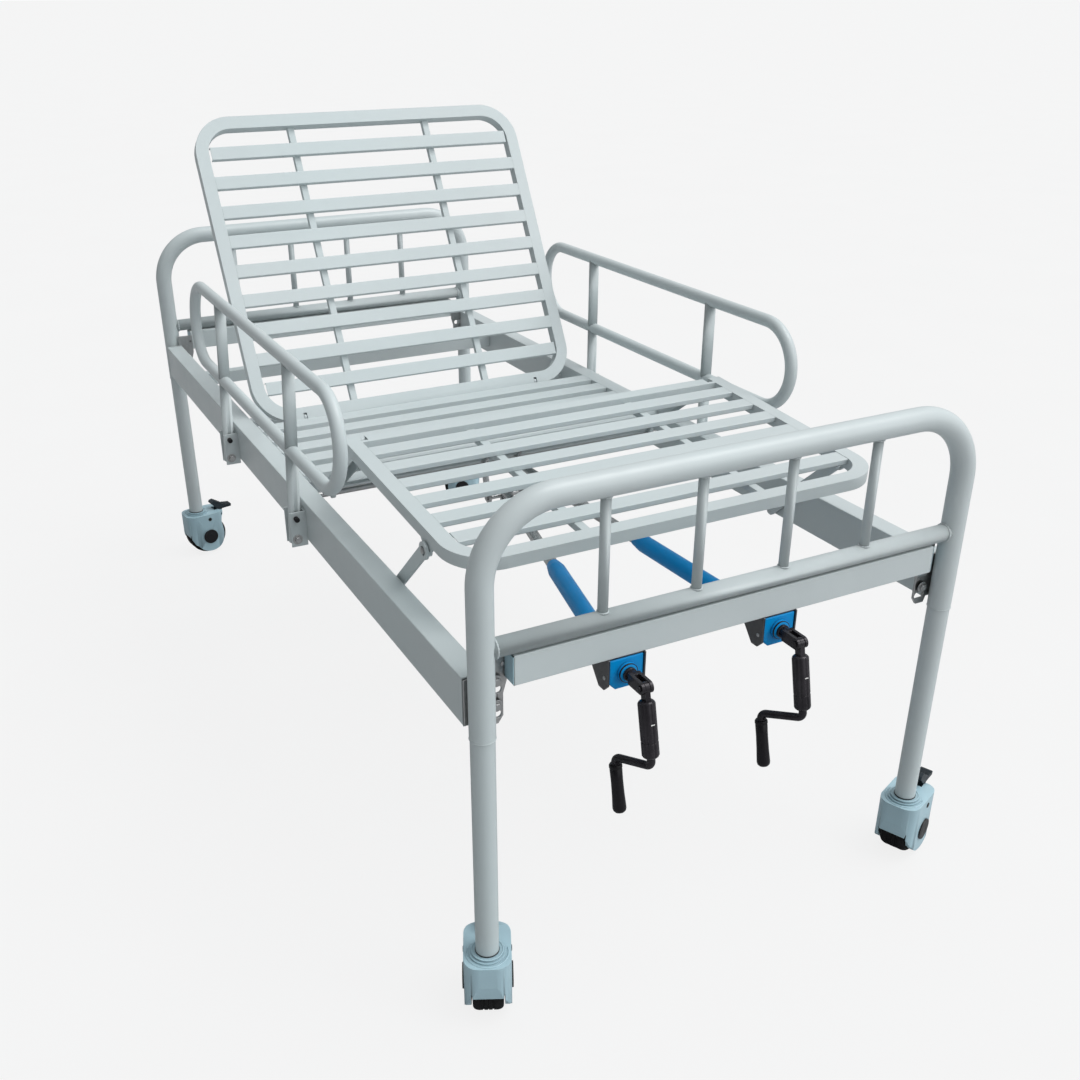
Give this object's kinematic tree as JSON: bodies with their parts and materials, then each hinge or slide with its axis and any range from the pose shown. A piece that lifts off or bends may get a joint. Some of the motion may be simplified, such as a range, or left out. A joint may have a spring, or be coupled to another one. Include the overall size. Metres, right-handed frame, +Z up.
{
  "type": "manual hospital bed",
  "caption": "Two-crank manual hospital bed frame with raised back section, bent knee section, slatted steel deck, folding side guards, folding cranks and braked casters.",
  "frame": {"origin": "on the floor, at the middle of the footprint box in the modelled pose; the bed's own centre line is 24.4 mm to the -Y side and its mid-length 12.7 mm to the -X side of it", "axes": "+X toward the foot end with the cranks, +Y across the bed, +Z up"},
  "size_m": [2.1534, 1.0379, 1.2452],
  "materials": {
    "white_powder_coat": "semi-gloss powder coat",
    "zinc_plate": "zinc plated",
    "drive_steel": "bright drawn steel",
    "blue_plastic": "moulded gloss",
    "black_chrome": "dark chrome",
    "grip_black": "gloss",
    "caster_plastic": "satin moulded",
    "tyre_rubber": "matte",
    "black_plastic": "moulded"
  },
  "bodies": {
    "bed_frame": {"side_rail_left": "white_powder_coat", "side_rail_right": "white_powder_coat", "end_rails": "white_powder_coat", "foot_bow": "white_powder_coat", "foot_crossbar": "white_powder_coat", "foot_spindles": "white_powder_coat", "head_bow": "white_powder_coat", "head_crossbar": "white_powder_coat", "head_spindles": "white_powder_coat", "legs": "white_powder_coat", "caster_stems": "zinc_plate", "corner_hook_plates": "zinc_plate", "frame_bolts": "zinc_plate", "seat_slats": "white_powder_coat", "under_cross_tubes": "white_powder_coat", "hinge_pins": "zinc_plate", "guard_brackets": "white_powder_coat", "crank_brackets": "zinc_plate", "bearing_blocks": "blue_plastic", "screw_housings": "blue_plastic"},
    "back_section": {"back_frame": "white_powder_coat", "back_slats": "white_powder_coat", "back_ribs": "white_powder_coat", "back_drive_arm": "drive_steel"},
    "thigh_section": {"thigh_frame": "white_powder_coat", "thigh_slats": "white_powder_coat", "thigh_drive_arm": "drive_steel"},
    "leg_section": {"leg_frame": "white_powder_coat", "leg_slats": "white_powder_coat", "leg_ribs": "white_powder_coat", "knee_pins": "zinc_plate"},
    "support_links": {"support_links": "white_powder_coat"},
    "knee_screw": {"knee_screw": "drive_steel"},
    "knee_push_tube": {"knee_push_tube": "drive_steel"},
    "back_screw": {"back_screw": "drive_steel"},
    "back_push_tube": {"back_push_tube": "drive_steel"},
    "guard_left": {"guard_rail_left": "white_powder_coat"},
    "guard_right": {"guard_rail_right": "white_powder_coat"},
    "knee_crank": {"knee_crank_shaft": "black_chrome"},
    "knee_crank_arm": {"knee_crank_arm": "black_chrome"},
    "knee_crank_grip": {"knee_crank_grip": "grip_black"},
    "back_crank": {"back_crank_shaft": "black_chrome"},
    "back_crank_arm": {"back_crank_arm": "black_chrome"},
    "back_crank_grip": {"back_crank_grip": "grip_black"},
    "caster_fl": {"caster_fl_hood": "caster_plastic", "caster_fl_axle": "black_plastic"},
    "wheel_fl": {"caster_fl_wheel": "tyre_rubber"},
    "pedal_fl": {"caster_fl_pedal": "black_plastic"},
    "caster_fr": {"caster_fr_hood": "caster_plastic", "caster_fr_axle": "black_plastic"},
    "wheel_fr": {"caster_fr_wheel": "tyre_rubber"},
    "pedal_fr": {"caster_fr_pedal": "black_plastic"},
    "caster_hl": {"caster_hl_hood": "caster_plastic", "caster_hl_axle": "black_plastic"},
    "wheel_hl": {"caster_hl_wheel": "tyre_rubber"},
    "pedal_hl": {"caster_hl_pedal": "black_plastic"},
    "caster_hr": {"caster_hr_hood": "caster_plastic", "caster_hr_axle": "black_plastic"},
    "wheel_hr": {"caster_hr_wheel": "tyre_rubber"},
    "pedal_hr": {"caster_hr_pedal": "black_plastic"}
  },
  "joints": [
    {"name": "back_raise", "type": "hinge", "parent": "bed_frame", "child": "back_section", "pos_m": [-0.2782, -0.02439, 0.622], "axis": [0, 1, 0], "range_deg": [-60, 15]},
    {"name": "thigh_raise", "type": "hinge", "parent": "bed_frame", "child": "thigh_section", "pos_m": [0.1368, -0.02439, 0.6], "axis": [0, 1, 0], "range_deg": [-3, 36]},
    {"name": "knee_fold", "type": "hinge", "parent": "thigh_section", "child": "leg_section", "pos_m": [0.34315, -0.02439, 0.76785], "axis": [0, 1, 0], "range_deg": [-40.5, 3.6]},
    {"name": "link_swing", "type": "hinge", "parent": "bed_frame", "child": "support_links", "pos_m": [0.5388, -0.02439, 0.56], "axis": [0, 1, 0], "range_deg": [-3.2, 37]},
    {"name": "back_push_slide", "type": "slide", "parent": "bed_frame", "child": "back_push_tube", "axis": [-0.9992, 0, -0.0402], "range_m": [-0.0835, 0.0215]},
    {"name": "knee_push_slide", "type": "slide", "parent": "bed_frame", "child": "knee_push_tube", "axis": [-0.9662, 0.2498, -0.0633], "range_m": [-0.0045, 0.0465]},
    {"name": "knee_screw_spin", "type": "hinge", "parent": "bed_frame", "child": "knee_screw", "pos_m": [0.9618, -0.23139, 0.59], "axis": [-0.9662, 0.2498, -0.0633], "range_deg": [-360, 4320]},
    {"name": "knee_crank_spin", "type": "hinge", "parent": "bed_frame", "child": "knee_crank", "pos_m": [0.9768, -0.23139, 0.59], "axis": [1, 0, 0], "range_deg": [-360, 4320]},
    {"name": "knee_crank_fold", "type": "hinge", "parent": "knee_crank", "child": "knee_crank_arm", "pos_m": [1.0388, -0.23139, 0.59], "axis": [0, -1, 0], "range_deg": [0, 77]},
    {"name": "knee_grip_spin", "type": "hinge", "parent": "knee_crank_arm", "child": "knee_crank_grip", "pos_m": [1.01561, -0.25648, 0.39991], "axis": [-0.225, 0, 0.9744], "continuous": true},
    {"name": "back_screw_spin", "type": "hinge", "parent": "bed_frame", "child": "back_screw", "pos_m": [0.9618, 0.05361, 0.59], "axis": [-0.9992, 0, -0.0402], "range_deg": [-7200, 1800]},
    {"name": "back_crank_spin", "type": "hinge", "parent": "bed_frame", "child": "back_crank", "pos_m": [0.9768, 0.05361, 0.59], "axis": [1, 0, 0], "range_deg": [-7200, 1800]},
    {"name": "back_crank_fold", "type": "hinge", "parent": "back_crank", "child": "back_crank_arm", "pos_m": [1.0388, 0.05361, 0.59], "axis": [0, -1, 0], "range_deg": [0, 77]},
    {"name": "back_grip_spin", "type": "hinge", "parent": "back_crank_arm", "child": "back_crank_grip", "pos_m": [1.02209, 0.01549, 0.40141], "axis": [-0.225, 0, 0.9744], "continuous": true},
    {"name": "guard_left_fold", "type": "hinge", "parent": "bed_frame", "child": "guard_left", "pos_m": [-0.0232, -0.50639, 0.556], "axis": [1, 0, 0], "range_deg": [0, 172]},
    {"name": "guard_right_fold", "type": "hinge", "parent": "bed_frame", "child": "guard_right", "pos_m": [-0.0232, 0.45761, 0.556], "axis": [-1, 0, 0], "range_deg": [0, 172]},
    {"name": "caster_fl_swivel", "type": "hinge", "parent": "bed_frame", "child": "caster_fl", "pos_m": [0.9768, -0.46639, 0.12], "axis": [0, 0, 1], "continuous": true},
    {"name": "wheel_fl_roll", "type": "hinge", "parent": "caster_fl", "child": "wheel_fl", "pos_m": [0.95867, -0.45794, 0.055], "axis": [-0.4226, -0.9063, 0], "continuous": true},
    {"name": "brake_fl_press", "type": "hinge", "parent": "caster_fl", "child": "pedal_fl", "pos_m": [0.9188, -0.43934, 0.113], "axis": [-0.4226, -0.9063, 0], "range_deg": [0, 10]},
    {"name": "caster_fr_swivel", "type": "hinge", "parent": "bed_frame", "child": "caster_fr", "pos_m": [0.9768, 0.41761, 0.12], "axis": [0, 0, 1], "continuous": true},
    {"name": "wheel_fr_roll", "type": "hinge", "parent": "caster_fr", "child": "wheel_fr", "pos_m": [0.96898, 0.43602, 0.055], "axis": [-0.9205, -0.3907, 0], "continuous": true},
    {"name": "brake_fr_press", "type": "hinge", "parent": "caster_fr", "child": "pedal_fr", "pos_m": [0.95179, 0.47652, 0.113], "axis": [-0.9205, -0.3907, 0], "range_deg": [0, 10]},
    {"name": "caster_hl_swivel", "type": "hinge", "parent": "bed_frame", "child": "caster_hl", "pos_m": [-1.0232, -0.46639, 0.12], "axis": [0, 0, 1], "continuous": true},
    {"name": "wheel_hl_roll", "type": "hinge", "parent": "caster_hl", "child": "wheel_hl", "pos_m": [-1.02667, -0.44669, 0.055], "axis": [-0.9848, -0.1736, 0], "continuous": true},
    {"name": "brake_hl_press", "type": "hinge", "parent": "caster_hl", "child": "pedal_hl", "pos_m": [-1.03431, -0.40336, 0.113], "axis": [-0.9848, -0.1736, 0], "range_deg": [0, 10]},
    {"name": "caster_hr_swivel", "type": "hinge", "parent": "bed_frame", "child": "caster_hr", "pos_m": [-1.0232, 0.41761, 0.12], "axis": [0, 0, 1], "continuous": true},
    {"name": "wheel_hr_roll", "type": "hinge", "parent": "caster_hr", "child": "wheel_hr", "pos_m": [-1.03004, 0.39882, 0.055], "axis": [0.9397, -0.342, 0], "continuous": true},
    {"name": "brake_hr_press", "type": "hinge", "parent": "caster_hr", "child": "pedal_hr", "pos_m": [-1.04509, 0.35747, 0.113], "axis": [0.9397, -0.342, 0], "range_deg": [0, 10]}
  ],
  "couplings": [
    {"joint": "knee_fold", "follows": "thigh_raise", "ratio": -1.1111},
    {"joint": "link_swing", "follows": "thigh_raise", "ratio": 0.95625},
    {"joint": "back_push_slide", "follows": "back_raise", "m_per_rad": 0.0791},
    {"joint": "knee_push_slide", "follows": "thigh_raise", "m_per_rad": 0.07309},
    {"joint": "knee_screw_spin", "follows": "thigh_raise", "ratio": 120},
    {"joint": "knee_crank_spin", "follows": "thigh_raise", "ratio": 120},
    {"joint": "back_screw_spin", "follows": "back_raise", "ratio": 120},
    {"joint": "back_crank_spin", "follows": "back_raise", "ratio": 120}
  ]
}
